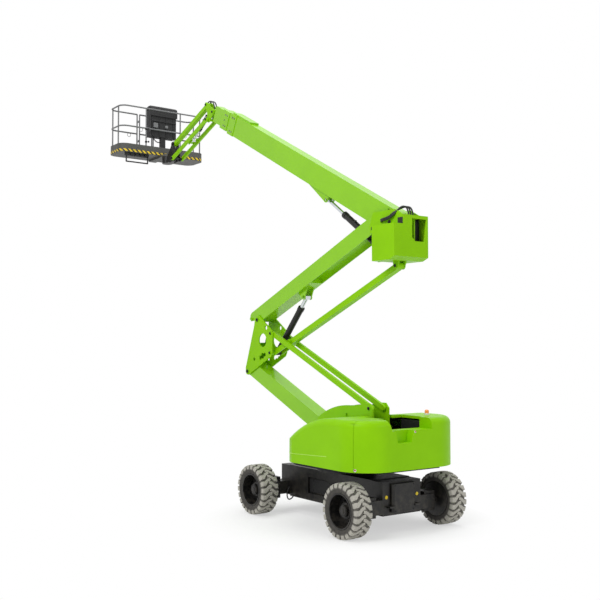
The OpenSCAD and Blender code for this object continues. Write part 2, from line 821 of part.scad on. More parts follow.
// Bracket at the jib's end with the lower half of the rotator
module cage_mount() {
    inner = 56;
    outer = 80;
    color(BLACK) {
        difference() {
            union() {
                both_sides() slab(inner, outer) {
                    translate(J3) circle(60);
                    translate(J4) circle(58);
                    polygon([J3 + [-50, -30], J3 + [250, -60], J3 + [400, 10], J3 + [400, 100],
                             J4 + [54, -20], J4 + [-40, 42]]);
                }
                translate([rotor[0], 0, rotor_low - 40]) cylinder(r = 130, h = 170);
                translate([J3[0] + 150, -outer, rotor_low - 40]) cube([300, 2 * outer, 130]);
            }
            translate([rotor[0], 0, rotor_low]) cylinder(r = 60 + pin_gap, h = 200);
        }
        pin(J3, tie_pin_r, -jib_in - jib_t - 10, jib_in + jib_t + 10);
        pin(J4, tie_pin_r, -outer - 10, outer + 10);
    }
}

// Outline of the cage, inset from its outer face
module cage_outline(inset) {
    rounded(cage_x0 + inset, -cage_l / 2 + inset, cage_x1 - inset, cage_l / 2 - inset, cage_r - inset);
}

// Cage floor with toe boards, and the rotator's upper half under it
module cage_floor() {
    color(GREY) {
        translate([0, 0, floor_z]) linear_extrude(floor_t) cage_outline(0);
        translate([0, 0, floor_z]) linear_extrude(toe_h + floor_t) difference() {
            cage_outline(0);
            cage_outline(toe_t);
        }
        translate([rotor[0], 0, rotor_low + 10]) cylinder(r = 60, h = 140);
        translate([rotor[0], 0, rotor_low + 135]) cylinder(r = 130, h = floor_z - rotor_low - 136);
        translate([rotor[0] - 60, -100, floor_z - 50]) cube([cage_x1 - rotor[0] - 40, 200, 51]);
    }
}

// Rail run round the cage: straight tubes and corner bends, without the gate's stretch
module rail_ring(z) {
    r = rail_d / 2;
    x0 = cage_x0 + rail_in;
    x1 = cage_x1 - rail_in;
    y1 = cage_l / 2 - rail_in;
    bend = cage_r - rail_in;
    translate([0, 0, z]) {
        for (x = [x0 + bend, x1 - bend], y = [-y1 + bend, y1 - bend]) translate([x, y, 0])
            rotate([0, 0, x < (x0 + x1) / 2 ? (y > 0 ? 90 : 180) : (y > 0 ? 0 : 270)])
                rotate_extrude(angle = 90) translate([bend, 0]) circle(r, $fn = 24);
        for (y = [-y1, y1]) translate([x0 + bend, y, 0]) rotate([0, 90, 0])
            cylinder(r = r, h = x1 - x0 - 2 * bend, $fn = 24);
        translate([x0, -y1 + bend, 0]) rotate([-90, 0, 0]) cylinder(r = r, h = 2 * (y1 - bend), $fn = 24);
        translate([x1, -y1 + bend, 0]) rotate([-90, 0, 0]) cylinder(r = r, h = gate_y0 + y1 - bend, $fn = 24);
        translate([x1, gate_y1, 0]) rotate([-90, 0, 0]) cylinder(r = r, h = y1 - bend - gate_y1, $fn = 24);
    }
}

module cage_rails() {
    base = floor_z + floor_t;
    x0 = cage_x0 + rail_in;
    x1 = cage_x1 - rail_in;
    y1 = cage_l / 2 - rail_in;
    bend = cage_r - rail_in;
    posts = [[x1, gate_y0], [x1, gate_y1], [x1, -700], [x0 + bend, y1], [x1 - bend, y1], [x0 + bend, -y1],
             [x1 - bend, -y1], [x0, 480], [x0, -480]];
    color(GREY) {
        rail_ring(base + rail_h);
        rail_ring(base + rail_h * 0.56);
        for (p = posts) translate([p[0], p[1], base]) cylinder(d = rail_d - 4, h = rail_h, $fn = 24);
        for (z = gate_hinges) translate([x1, hinge_y, base + z]) {
            translate([-9, -9, -10]) cube([18, gate_y1 - hinge_y, 10]);
            translate([0, 0, -1]) cylinder(r = hinge_r, h = hinge_h + 4, $fn = 24);
        }
    }
}

// Gate that swings into the cage on its left-hand post
module cage_gate() {
    base = floor_z + floor_t;
    gap = 42;
    x1 = cage_x1 - rail_in;
    y0 = gate_y0 + gap;
    y1 = hinge_y - 32;
    color(GREY) {
        for (z = gate_hinges) translate([x1, hinge_y, base + z + 5]) difference() {
            union() {
                cylinder(r = 13, h = hinge_h - 5, $fn = 24);
                translate([-6, y1 - hinge_y, 5]) cube([12, hinge_y - y1, hinge_h - 15]);
            }
            translate([0, 0, -1]) cylinder(r = hinge_r + pin_gap, h = hinge_h, $fn = 24);
        }
        for (z = [base + rail_h * 0.56, base + rail_h]) translate([x1, y0, z]) rotate([-90, 0, 0])
            cylinder(d = rail_d, h = y1 - y0, $fn = 24);
        for (y = [y0, y1]) translate([x1, y, base + rail_h * 0.3])
            cylinder(d = rail_d - 6, h = rail_h * 0.7, $fn = 24);
    }
}

// Control console with its hood, on a post at the boom side
module cage_console() {
    base = floor_z + floor_t;
    x0 = cage_x0 + rail_in + rail_d;
    profile = [[x0, base + 480], [x0 + 240, base + 480], [x0 + 290, base + 800], [x0 + 250, base + 1190],
               [x0 + 130, base + 1225], [x0, base + 1190]];
    middle = [x0 + 140, base + 840];
    wall = 10;
    color(BLACK) {
        difference() {
            slab(-380, 330) polygon(profile);
            slab(-380 + wall, 330 - wall) polygon([for (p = profile) middle + 0.94 * (p - middle)]);
        }
        translate([x0 + 20, -90, base]) cube([90, 130, 490]);
    }
}

// Step under the cage: bent tube and a pierced tread
module cage_step() {
    y0 = 420;
    y1 = 1000;
    drop = 230;
    r = 17;
    x = cage_x0 + 60;
    color(BLACK) {
        for (y = [y0, y1]) translate([x, y, floor_z - drop]) cylinder(r = r, h = drop, $fn = 24);
        translate([x, y0, floor_z - drop]) rotate([-90, 0, 0]) cylinder(r = r, h = y1 - y0, $fn = 24);
        for (y = [y0, y1]) translate([x, y, floor_z - drop]) sphere(r, $fn = 24);
        difference() {
            translate([x - 30, y0 - 20, floor_z - 75]) cube([90, y1 - y0 + 40, 75]);
            translate([x - 18, y0 - 8, floor_z - 80]) cube([66, y1 - y0 + 16, 75]);
            for (y = [y0 + 100 : 130 : y1 - 50]) translate([x - 40, y, floor_z - 40]) rotate([0, 90, 0])
                cylinder(r = 24, h = 120);
        }
    }
}

chassis_frame();
front_axle();
rear_axle();
slew_ring();
steer_knuckle();  // steer_knuckle_left
mirror([0, 1, 0]) steer_knuckle();  // steer_knuckle_right
wheel_at(1, 1) rim();  // rim_front_left
wheel_at(1, -1) rim();  // rim_front_right
wheel_at(-1, 1) rim();  // rim_rear_left
wheel_at(-1, -1) rim();  // rim_rear_right
wheel_at(1, 1) tyre();  // tyre_front_left
wheel_at(1, -1) tyre();  // tyre_front_right
wheel_at(-1, 1) tyre();  // tyre_rear_left
wheel_at(-1, -1) tyre();  // tyre_rear_right
turret_base();
counterweight();
canopy();  // canopy_left
mirror([0, 1, 0]) canopy();  // canopy_right
engine_block();
battery_pack();
beacon();
lower_boom();
elbow();
lower_ties();
riser();
riser_barrel();
riser_rod();
upper_tie();
knuckle();
boom_barrel();
boom_rod();
boom_outer();
boom_mid();
boom_inner();
boom_head();
jib_lower_arms();
jib_upper_arm();
jib_barrel();
jib_rod();
cage_mount();
cage_floor();
cage_rails();
cage_gate();
cage_console();
cage_step();
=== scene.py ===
import json
import math

import bpy
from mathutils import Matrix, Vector


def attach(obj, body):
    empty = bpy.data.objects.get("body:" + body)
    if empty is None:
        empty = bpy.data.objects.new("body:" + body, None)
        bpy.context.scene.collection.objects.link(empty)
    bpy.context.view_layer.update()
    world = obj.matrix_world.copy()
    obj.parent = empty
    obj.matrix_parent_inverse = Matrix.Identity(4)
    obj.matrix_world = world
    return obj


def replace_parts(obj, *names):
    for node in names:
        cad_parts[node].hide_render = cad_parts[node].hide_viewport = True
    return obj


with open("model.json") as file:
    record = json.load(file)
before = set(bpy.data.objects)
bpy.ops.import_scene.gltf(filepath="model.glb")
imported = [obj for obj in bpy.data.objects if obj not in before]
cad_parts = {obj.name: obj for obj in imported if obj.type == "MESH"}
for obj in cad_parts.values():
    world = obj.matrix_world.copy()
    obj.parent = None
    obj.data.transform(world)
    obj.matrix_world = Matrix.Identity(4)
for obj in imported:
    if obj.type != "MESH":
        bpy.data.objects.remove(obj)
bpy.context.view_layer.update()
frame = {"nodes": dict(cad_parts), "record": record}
nodes = frame["nodes"]
V = Vector


# Pins of the linkage, in metres, from the same sizes as the solids
def at(p, length, deg):
    """Point at a length along a heading in the X-Z plane."""
    return (p[0] + length * math.cos(math.radians(deg)), p[1] + length * math.sin(math.radians(deg)))


def off(p, dx, dz):
    """Point moved in the X-Z plane."""
    return (p[0] + dx, p[1] + dz)


# Headings in degrees, and lengths between pins
LOWER, RISER, BOOM, JIB = 23.3, 157.7, 27.4, -20.6
LOWER_LEN, RISER_LEN, BOOM_LEN, JIB_LEN = 3.38, 4.02, 7.06, 1.78
TIE_DX, TIE_DZ = -0.86, 0.79
# Lower boom's foot, elbow's two pins, lower ties, riser's top
L0 = (0.0, 1.27)
E1 = at(L0, LOWER_LEN, LOWER)
E2 = off(E1, -0.37, 1.075)
T0, T1 = off(L0, TIE_DX, TIE_DZ), off(E1, TIE_DX, TIE_DZ)
K1 = at(E2, RISER_LEN, RISER)
# Upper tie, main boom's foot, its cylinder, riser cylinder's rod
U1 = off(E1, -0.84, 0.395)
U2 = (U1[0] + K1[0] - E2[0], U1[1] + K1[1] - E2[1])
M1 = off(K1, -0.445, 0.062)
B0 = off(K1, -0.225, -0.5)
B1 = at(at(M1, 2.033, BOOM), 0.322, BOOM - 90)
C1 = at(at(E2, 1.54, RISER), 0.183, RISER + 90)
# Head, and the ends of the jib's lower and upper arms
H1 = at(M1, BOOM_LEN, BOOM)
J1 = off(H1, 0.18, -0.148)
J2 = off(J1, 0.122, 0.38)
J3, J4 = at(J1, JIB_LEN, JIB), at(J2, JIB_LEN, JIB)
ROTOR_X = J3[0] + 0.53
FLOOR_Z = J3[1] + 0.19
CAGE_X0 = ROTOR_X + 0.205
CAGE_X1 = CAGE_X0 + 0.76
BASE_Z = FLOOR_Z + 0.014
AXLE_X, AXLE_Z, WHEEL_Y = 1.345, 0.46, 1.0725


# Materials
def lin(r, g, b):
    """Linear colour from one on the 0 to 255 scale."""
    curve = (((c / 255 + 0.055) / 1.055) ** 2.4 if c > 10 else c / 255 / 12.92 for c in (r, g, b))
    return tuple(curve) + (1.0,)


class Graph:
    """A material's nodes, with short calls to add and join them."""

    def __init__(self, name):
        self.mat = bpy.data.materials.new(name)
        self.mat.use_nodes = True
        self.tree = self.mat.node_tree
        self.out = self.tree.nodes["Principled BSDF"]
        self.coord = self.add("ShaderNodeTexCoord").outputs["Object"]

    def add(self, kind, **values):
        node = self.tree.nodes.new(kind)
        for key, value in values.items():
            setattr(node, key, value)
        return node

    def link(self, a, b):
        self.tree.links.new(a, b)

    def noise(self, scale, detail=3.0, rough=0.55, stretch=None):
        node = self.add("ShaderNodeTexNoise")
        node.inputs["Scale"].default_value = scale
        node.inputs["Detail"].default_value = detail
        node.inputs["Roughness"].default_value = rough
        if stretch:
            mapping = self.add("ShaderNodeMapping")
            mapping.inputs["Scale"].default_value = stretch
            self.link(self.coord, mapping.inputs["Vector"])
            self.link(mapping.outputs["Vector"], node.inputs["Vector"])
        else:
            self.link(self.coord, node.inputs["Vector"])
        return node.outputs["Fac"]

    def remap(self, value, a, b, c, d):
        node = self.add("ShaderNodeMapRange")
        for i, x in enumerate((a, b, c, d)):
            node.inputs[i + 1].default_value = x
        self.link(value, node.inputs[0])
        return node.outputs[0]

    def math(self, op, a, b):
        node = self.add("ShaderNodeMath", operation=op, use_clamp=True)
        for i, x in enumerate((a, b)):
            if isinstance(x, (int, float)):
                node.inputs[i].default_value = x
            else:
                self.link(x, node.inputs[i])
        return node.outputs[0]

    def mix(self, fac, a, b):
        node = self.add("ShaderNodeMix", data_type="RGBA")
        self.link(fac, node.inputs[0])
        for socket, x in ((node.inputs[6], a), (node.inputs[7], b)):
            if isinstance(x, tuple):
                socket.default_value = x
            else:
                self.link(x, socket)
        return node.outputs[2]

    def height(self):
        split = self.add("ShaderNodeSeparateXYZ")
        self.link(self.coord, split.inputs[0])
        return split.outputs[2]

    def bump(self, value, strength, distance):
        node = self.add("ShaderNodeBump")
        node.inputs["Strength"].default_value = strength
        node.inputs["Distance"].default_value = distance
        self.link(value, node.inputs["Height"])
        self.link(node.outputs[0], self.out.inputs["Normal"])


def finish_of(name, color, shade, rough, metallic=0.0, specular=0.5, coat=0.0, patch=1.6, grain=300.0,
              relief=0.08, dust=0.0, streaks=None, emission=None):
    """Colour that drifts between two tones, uneven gloss, fine relief, and dust that gathers low down."""
    g = Graph(name)
    color, shade = lin(*color), lin(*shade)
    tone = g.remap(g.noise(patch, 5.0, 0.6, streaks), 0.3, 0.7, 0.0, 1.0)
    paint = g.mix(tone, shade, color)
    if dust:
        low = g.remap(g.height(), 0.05, 1.15, 1.0, 0.0)
        spots = g.remap(g.noise(9.0, 6.0, 0.7), 0.42, 0.72, 0.0, 1.0)
        paint = g.mix(g.math("MULTIPLY", g.math("MULTIPLY", low, spots), dust), paint, lin(126, 118, 104))
    g.link(paint, g.out.inputs["Base Color"])
    gloss = g.remap(g.noise(patch * 7, 4.0), 0.25, 0.75, rough - 0.06, rough + 0.08)
    g.link(gloss, g.out.inputs["Roughness"])
    g.out.inputs["Metallic"].default_value = metallic
    g.out.inputs["Specular IOR Level"].default_value = specular
    g.out.inputs["Coat Weight"].default_value = coat
    g.out.inputs["Coat Roughness"].default_value = 0.12
    if emission:
        g.out.inputs["Emission Color"].default_value = color
        g.out.inputs["Emission Strength"].default_value = emission
    g.bump(g.noise(grain, 2.0), relief, 0.002)
    return g.mat


GREEN = finish_of("lime_paint", (141, 205, 4), (134, 197, 3), 0.38, specular=0.11)
# Pale green for the swage line: a painted highlight along the crease
SWAGE_HIGHLIGHT_GREEN = finish_of("swage_painted_highlight", (186, 232, 96), (176, 224, 84), 0.38, specular=0.11)
BOOM_GREEN = finish_of("boom_paint", (141, 205, 4), (134, 197, 3), 0.38, specular=0.11, coat=0.5)
BLACK = finish_of("black_paint", (20, 19, 19), (14, 14, 14), 0.42, specular=0.38, dust=0.28)
PLASTIC = finish_of("black_moulding", (23, 23, 24), (16, 16, 17), 0.55, specular=0.4, grain=900.0,
                    relief=0.25)
GREY = finish_of("grey_paint", (118, 119, 120), (106, 107, 108), 0.42, specular=0.4)
DECK = finish_of("grey_deck_paint", (88, 88, 85), (78, 78, 75), 0.5, specular=0.25)
CHROME = finish_of("chromed_rod", (222, 225, 229), (196, 200, 206), 0.14, metallic=1.0,
                   streaks=(2.0, 60.0, 60.0), relief=0.02)
ZINC = finish_of("plated_steel", (150, 150, 152), (112, 112, 116), 0.36, metallic=1.0, patch=30.0)
DARK_STEEL = finish_of("dark_pin_steel", (42, 42, 44), (28, 28, 30), 0.38, metallic=0.7, patch=30.0)
HOSE = finish_of("hose_rubber", (20, 20, 21), (12, 12, 13), 0.5, grain=500.0, relief=0.3)
AMBER = finish_of("amber_lens", (246, 140, 14), (232, 118, 6), 0.2, specular=0.5, coat=0.5, grain=120.0,
                  emission=0.12)
YELLOW = finish_of("yellow_paint", (228, 200, 20), (214, 184, 14), 0.42, patch=12.0)
RED = finish_of("red_reflector", (196, 30, 22), (176, 20, 16), 0.25, coat=0.4, grain=1200.0, relief=0.3)
WHITE = finish_of("white_moulding", (226, 226, 222), (212, 212, 208), 0.4, grain=700.0)
PAD = finish_of("wear_pad", (196, 196, 188), (180, 180, 172), 0.5, patch=14.0)


def tyre_material():
    g = Graph("grey_tread_rubber")
    attr = g.add("ShaderNodeAttribute", attribute_name="lug")
    scuff = g.remap(g.noise(16.0, 6.0, 0.7), 0.3, 0.75, 0.0, 1.0)
    # Dark tone: the sidewall's own dark rubber, and, mixed in by the lug flag, painted shade in the grooves
    dark_rubber_and_groove_shade = g.mix(scuff, lin(64, 62, 59), lin(84, 81, 77))
    top = g.mix(scuff, lin(168, 165, 156), lin(184, 181, 172))
    g.link(g.mix(attr.outputs["Fac"], dark_rubber_and_groove_shade, top), g.out.inputs["Base Color"])
    g.link(g.remap(g.noise(40.0), 0.3, 0.7, 0.72, 0.9), g.out.inputs["Roughness"])
    g.out.inputs["Specular IOR Level"].default_value = 0.25
    g.bump(g.noise(160.0, 5.0), 0.35, 0.003)
    return g.mat


def stripe_material():
    """Slanted yellow and black bands along the strip's own length."""
    g = Graph("slanted_bands")
    uv = g.add("ShaderNodeUVMap")
    split = g.add("ShaderNodeSeparateXYZ")
    g.link(uv.outputs[0], split.inputs[0])
    slant = g.add("ShaderNodeMath", operation="ADD")
    g.link(split.outputs[0], slant.inputs[0])
    g.link(split.outputs[1], slant.inputs[1])
    turn = g.add("ShaderNodeMath", operation="FRACT")
    g.link(slant.outputs[0], turn.inputs[0])
    band = g.add("ShaderNodeMath", operation="GREATER_THAN")
    g.link(turn.outputs[0], band.inputs[0])
    band.inputs[1].default_value = 0.5
    worn = g.remap(g.noise(30.0, 6.0, 0.7), 0.3, 0.7, 0.0, 1.0)
    yellow = g.mix(worn, lin(214, 184, 36), lin(228, 198, 46))
    black = g.mix(worn, lin(34, 32, 28), lin(46, 44, 40))
    g.link(g.mix(band.outputs[0], black, yellow), g.out.inputs["Base Color"])
    g.link(g.remap(worn, 0.0, 1.0, 0.4, 0.6), g.out.inputs["Roughness"])
    g.bump(g.noise(400.0), 0.1, 0.001)
    return g.mat


def turret_material():
    """Green uprights, and below 1.102 m a near-black platform that is painted shade inside the bay."""
    g = Graph("turret_paint_and_bay_shade")
    green = g.mix(g.remap(g.noise(1.6, 5.0), 0.3, 0.7, 0.0, 1.0), lin(134, 197, 3), lin(141, 205, 4))
    # Near-black below the level: painted shade on the bay's floor
    platform_shade = g.mix(g.remap(g.noise(4.0, 5.0), 0.3, 0.7, 0.0, 1.0), lin(17, 17, 18), lin(26, 26, 28))
    level = g.add("ShaderNodeMath", operation="GREATER_THAN")
    g.link(g.height(), level.inputs[0])
    level.inputs[1].default_value = 1.102
    g.link(g.mix(level.outputs[0], platform_shade, green), g.out.inputs["Base Color"])
    g.link(g.remap(g.noise(11.0), 0.25, 0.75, 0.31, 0.44), g.out.inputs["Roughness"])
    g.out.inputs["Specular IOR Level"].default_value = 0.11
    g.bump(g.noise(300.0, 2.0), 0.08, 0.002)
    return g.mat


TREAD, STRIPE, TURRET = tyre_material(), stripe_material(), turret_material()
BY_SLOT = {"green_paint": GREEN, "black_paint": BLACK, "black_plastic": PLASTIC, "tread_rubber": TREAD,
           "chromed_rod": CHROME, "grey_paint": GREY, "amber_lens": AMBER}
BY_NODE = {"turret_base": TURRET, "cage_floor": DECK}
for name in ("lower_boom", "riser", "boom_outer", "boom_mid", "boom_inner"):
    BY_NODE[name] = BOOM_GREEN
for part in frame["record"]["subparts"]:
    mesh = nodes[part["node"]].data
    mesh.materials.clear()
    mesh.materials.append(BY_NODE.get(part["node"]) or BY_SLOT[part["material_slot"]])


# Pieces
SHARP = math.radians(35)


class Piece:
    """Collects prisms, discs, bolts and tubes into one mesh."""

    def __init__(self):
        self.v, self.f = [], []

    def grid(self, rings, caps=True):
        """Skin over equal closed rings of points, in order."""
        base, n = len(self.v), len(rings[0])
        for ring in rings:
            self.v += [tuple(p) for p in ring]
        for i in range(len(rings) - 1):
            for k in range(n):
                a, b = base + i * n + k, base + i * n + (k + 1) % n
                self.f.append((a, b, b + n, a + n))
        if caps:
            self.f.append(tuple(base + k for k in reversed(range(n))))
            last = base + (len(rings) - 1) * n
            self.f.append(tuple(last + k for k in range(n)))

    def turned(self, p, axis, profile, n=24):
        """Solid of revolution from (radius, height) pairs along an axis from p."""
        axis = V(axis).normalized()
        u = axis.orthogonal().normalized()
        w = axis.cross(u)
        rings = []
        for r, h in profile:
            c = V(p) + axis * h
            turns = (2 * math.pi * k / n for k in range(n))
            rings.append([c + (u * math.cos(t) + w * math.sin(t)) * r for t in turns])
        self.grid(rings)

    def bolt(self, p, axis, size):
        """Washer, hexagon and crowned end."""
        self.turned(p, axis, [(size * 1.15, 0), (size * 1.15, size * 0.18), (size * 0.9, size * 0.2)], 20)
        self.turned(V(p) + V(axis).normalized() * size * 0.18, axis,
                    [(size * 0.92, 0), (size * 0.92, size * 0.55), (size * 0.75, size * 0.7)], 6)

    def block(self, low, high):
        (x0, y0, z0), (x1, y1, z1) = low, high
        self.grid([[(x0, y0, z), (x1, y0, z), (x1, y1, z), (x0, y1, z)] for z in (z0, z1)])

    def tube(self, points, r, n=12):
        points = [V(p) for p in points]
        side, rings = None, []
        for i, p in enumerate(points):
            t = (points[min(i + 1, len(points) - 1)] - points[max(i - 1, 0)]).normalized()
            side = (t.orthogonal() if side is None else side - t * side.dot(t)).normalized()
            up = t.cross(side)
            rings.append([p + (side * math.cos(a) + up * math.sin(a)) * r
                          for a in (2 * math.pi * k / n for k in range(n))])
        self.grid(rings)

    def make(self, name, material, body, slot, bevel=0.0):
        """Object of the collected mesh, with its material, on its body; the slot is not used."""
        mesh = bpy.data.meshes.new(name)
        mesh.from_pydata(self.v, [], self.f)
        mesh.validate()
        mesh.materials.append(material)
        obj = bpy.data.objects.new(name, mesh)
        bpy.context.collection.objects.link(obj)
        if bevel:
            mod = obj.modifiers.new("edges", "BEVEL")
            mod.width = bevel
            mod.segments = 2
            mod.limit_method = "ANGLE"
            mod.angle_limit = SHARP
        mesh.polygons.foreach_set("use_smooth", [True] * len(mesh.polygons))
        mesh.set_sharp_from_angle(angle=SHARP)
        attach(obj, body)
        return obj


def curve_through(points, steps=8):
    """Smooth run of points through the given ones."""
    p = [V(q) for q in points]
    p = [p[0] * 2 - p[1]] + p + [p[-1] * 2 - p[-2]]
    run = []
    for i in range(1, len(p) - 2):
        for k in range(steps):
            t = k / steps
            run.append(0.5 * (2 * p[i] + (p[i + 1] - p[i - 1]) * t
                              + (2 * p[i - 1] - 5 * p[i] + 4 * p[i + 1] - p[i + 2]) * t * t
                              + (3 * p[i] - p[i - 1] - 3 * p[i + 1] + p[i + 2]) * t ** 3))
    return run + [p[-2]]


def hose(name, points, r, body):
    """Hydraulic hose: a tube along a smooth run through the given points."""
    run = curve_through(points)
    piece = Piece()
    piece.tube(run, r)
    obj = piece.make(name, HOSE, body, "black_plastic")


def xz(p, y, along=0.0, deg=0.0, normal=0.0):
    """Point on plane y, moved along a heading in the X-Z plane and square to it."""
    q = at(at(p, along, deg), normal, deg + 90)
    return (q[0], y, q[1])


# Camera, solved from the photograph
CAMERA_PLACE = (-12.978, 10.365, 3.216)
CAMERA_YAW, CAMERA_PITCH = 0.622, 0.047
FOCAL_PX, PHOTO_PX, SENSOR_MM = 898.2, 600, 36
camera = bpy.data.objects.new("camera", bpy.data.cameras.new("camera"))
bpy.context.collection.objects.link(camera)
camera.location = CAMERA_PLACE
level_part = math.cos(CAMERA_PITCH)
view = V((math.cos(CAMERA_YAW) * level_part, -math.sin(CAMERA_YAW) * level_part, math.sin(CAMERA_PITCH)))
camera.rotation_euler = view.to_track_quat("-Z", "Y").to_euler()
camera.data.sensor_width = SENSOR_MM
camera.data.sensor_fit = "HORIZONTAL"
camera.data.lens = FOCAL_PX / PHOTO_PX * SENSOR_MM
bpy.context.scene.camera = camera

# Hoses, and the knuckle's valves
BOOM_HOSE_R = 0.014
for i in range(3):
    run = [(0.15, -0.23 + 0.01 * i, 0.11), (0.222, -0.25, 0.104 + 0.012 * i),
           (0.236 + 0.006 * i, -0.36, 0.106 + 0.014 * i), (0.236, -0.47, 0.122 + 0.018 * i),
           (0.224, -0.56, 0.165 + 0.02 * i), (0.18 - 0.02 * i, -0.62, 0.25 + 0.01 * i),
           (0.11 - 0.04 * i, -0.67, 0.315), (0.05 - 0.05 * i, -0.705, 0.30),
           (0.025 - 0.05 * i, -0.728, 0.22), (0.02 - 0.05 * i, -0.735, 0.13)]
    hose(f"knuckle_hose_{i}", [xz(K1, y, dx, 0, dz) for y, dx, dz in run], BOOM_HOSE_R, "knuckle")
valves = Piece()
valves.block(xz(K1, 0.163, -0.772, 0, 0.008), xz(K1, 0.206, -0.655, 0, 0.122))
valves.block(xz(K1, -0.345, -0.6, 0, -0.33), xz(K1, -0.215, -0.42, 0, 0.13))
valves.make("knuckle_valves", PLASTIC, "knuckle", "black_plastic", bevel=0.006)
for i, y in enumerate((-0.03, 0.03)):
    run = [(0.02, 0.03), (-0.04, 0.06), (-0.14, 0.058), (-0.25, 0.005), (-0.31, -0.1), (-0.32, -0.19)]
    hose(f"head_hose_{i}", [xz(J2, y, dx, 0, dz) for dx, dz in run], BOOM_HOSE_R, "boom_head")
hose("axle_hose", [(1.20, 0.44, 0.46), (1.18, 0.5, 0.40), (1.16, 0.53, 0.31), (1.12, 0.53, 0.25),
                   (1.07, 0.5, 0.26), (1.05, 0.44, 0.33)], 0.012, "chassis")

# Tyres
WHEELS = [(e, s, sx, sy) for e, sx in (("front", 1), ("rear", -1)) for s, sy in (("left", 1), ("right", -1))]
LUGS, TYRE_STEPS = 22, 96
LUG_HALF, LUG_FLARE, FLARE_AT = 0.056, 0.038, 0.13
# Lug flag: 0 on the sidewall's dark rubber; groove floors and lug feet part-dark and lug edges a little
# darker, as painted shade; lug tops 1
GROOVE_SHADE_TONE, SIDEWALL_R = 0.3, 0.385
LUG_TONES = [GROOVE_SHADE_TONE, 0.9, 1.0, 1.0, 0.9, GROOVE_SHADE_TONE]
# Carcass: half width, radius. Lugs: place across, top and foot radius, turn round the tyre
CARCASS = [(0.150, 0.2955), (0.161, 0.310), (0.1685, 0.340), (0.1695, 0.372), (0.163, 0.398), (0.146, 0.416),
           (0.09, 0.425), (0.0, 0.427)]
LUG_PATH = [(0.1715, 0.384, 0.368, 0.0), (0.1720, 0.425, 0.385, 0.0), (0.1660, 0.446, 0.395, 0.0),
            (0.1500, 0.4555, 0.408, 0.0), (0.1080, 0.4590, 0.418, 0.0), (0.0780, 0.4597, 0.420, 0.055),
            (0.0350, 0.4599, 0.421, 0.135), (0.0, 0.46, 0.422, 0.165), (-0.022, 0.4599, 0.422, 0.17)]
for end, side, sx, sy in WHEELS:
    piece = Piece()
    profile = CARCASS + [(-v, r) for v, r in reversed(CARCASS[:-1])]
    rings = []
    for k in range(TYRE_STEPS):
        t = 2 * math.pi * k / TYRE_STEPS
        rings.append([(r * math.sin(t), v, r * math.cos(t)) for v, r in profile])
    piece.grid(rings + [rings[0]], caps=False)
    # Groove floors darkened as painted shade; the sidewall keeps its own dark rubber
    lug_flag = [0.0 if r < SIDEWALL_R else GROOVE_SHADE_TONE for v, r in profile] * TYRE_STEPS
    lug_flag += lug_flag[:len(piece.v) - len(lug_flag)]
    for half in (1, -1):
        for k in range(LUGS):
            start = 2 * math.pi * (k + (0.25 if half < 0 else -0.25)) / LUGS
            rings = []
            for v, top, low, turn in LUG_PATH:
                t = start + turn
                wide = LUG_HALF + LUG_FLARE * min(1.0, abs(v) / FLARE_AT)
                ring = []
                for dt, r in ((-wide - 0.008, low), (-wide, top - 0.003), (-wide + 0.010, top),
                              (wide - 0.010, top), (wide, top - 0.003), (wide + 0.008, low)):
                    ring.append((r * math.sin(t + dt), v * half, r * math.cos(t + dt)))
                rings.append(ring if half > 0 else ring[::-1])
            piece.grid(rings)
            lug_flag += LUG_TONES * len(LUG_PATH)
    centre = V((sx * AXLE_X, sy * WHEEL_Y, AXLE_Z))
    piece.v = [tuple(V(p) + centre) for p in piece.v]
    tyre = piece.make(f"lugged_tyre_{end}_{side}", TREAD, f"wheel_{end}_{side}", "tread_rubber")
    flag = tyre.data.attributes.new("lug", "FLOAT", "POINT")
    flag.data.foreach_set("value", lug_flag)
    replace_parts(tyre, f"tyre_{end}_{side}")

# Wheel centres
NUTS, NUT_CIRCLE = 10, 0.175
HUB_BOLTS, HUB_CIRCLE = 8, 0.113
for end, side, sx, sy in WHEELS:
    out = V((0, sy, 0))
    centre = V((sx * AXLE_X, sy * WHEEL_Y, AXLE_Z))
    nuts, cap = Piece(), Piece()
    for k in range(NUTS):
        t = 2 * math.pi * k / NUTS
        spot = centre + V((math.sin(t), 0, math.cos(t))) * NUT_CIRCLE - out * 0.046
        nuts.bolt(spot, out, 0.019)
        nuts.turned(spot + out * 0.012, out, [(0.010, 0), (0.010, 0.022), (0.007, 0.025)], 12)
    nuts.make(f"wheel_nuts_{end}_{side}", DARK_STEEL, f"wheel_{end}_{side}", "black_paint")
    cap.turned(centre + out * 0.089, out, [(0.080, 0), (0.080, 0.008), (0.072, 0.014), (0.045, 0.018),
                                           (0.0450, 0.024), (0.02, 0.028)], 32)
    for k in range(HUB_BOLTS):
        t = 2 * math.pi * (k + 0.5) / HUB_BOLTS
        cap.bolt(centre + V((math.sin(t), 0, math.cos(t))) * HUB_CIRCLE + out * 0.039, out, 0.010)
    cap.turned(centre - out * 0.168, out, [(0.292, 0.0), (0.298, 0.004), (0.298, 0.012), (0.286, 0.016)], 64)
    cap.turned(centre + V((0.0, 0, 0.255)) - out * 0.05, (0, sy, -0.25),
               [(0.006, 0), (0.006, 0.05), (0.008, 0.052), (0.008, 0.068)], 10)
    cap.make(f"wheel_hub_{end}_{side}", BLACK, f"wheel_{end}_{side}", "black_paint")


# Pin ends with keeper bolts
MAIN_PIN, TIE_PIN, PIN_CAP = 0.04, 0.03, 0.009
TURRET_HALF, PLATE_HALF, TIE_FORK_HALF, ARM_HALF, EYE_HALF = 0.2085, 0.2045, 0.104, 0.16, 0.09


